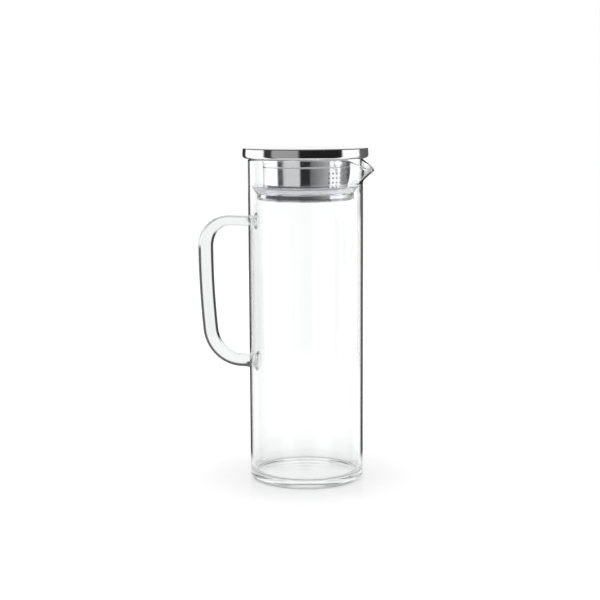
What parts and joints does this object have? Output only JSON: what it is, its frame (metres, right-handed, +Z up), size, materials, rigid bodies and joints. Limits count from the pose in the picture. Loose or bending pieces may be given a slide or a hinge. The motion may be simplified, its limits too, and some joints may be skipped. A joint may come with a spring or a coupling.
{
  "type": "glass pitcher with lid",
  "caption": "Straight-sided glass water jug with a pulled spout, a welded glass rod handle and a lift-off steel lid with a strainer collar and a silicone seal.",
  "frame": {"origin": "centre of the foot ring, in the plane that the jug stands on", "axes": "+Z up along the jug's axis, +X towards the spout, handle on -X"},
  "size_m": [0.15, 0.0988, 0.2622],
  "materials": {
    "glass": "clear, fire-polished",
    "cover_steel": "satin top, polished rim",
    "collar_steel": "finely brushed round the collar",
    "silicone": "translucent silicone"
  },
  "bodies": {
    "pitcher": {"glass_body": "glass", "glass_handle": "glass"},
    "seal": {"gasket": "silicone"},
    "lid": {"lid_cover": "cover_steel", "lid_plate": "cover_steel", "strainer_collar": "collar_steel"}
  },
  "joints": [
    {"name": "lid_lift", "type": "slide", "parent": "pitcher", "child": "seal", "axis": [0, 0, 1], "range_m": [0, 0.045]},
    {"name": "lid_turn", "type": "hinge", "parent": "seal", "child": "lid", "pos_m": [0, 0, 0.254], "axis": [0, 0, 1], "continuous": true}
  ]
}
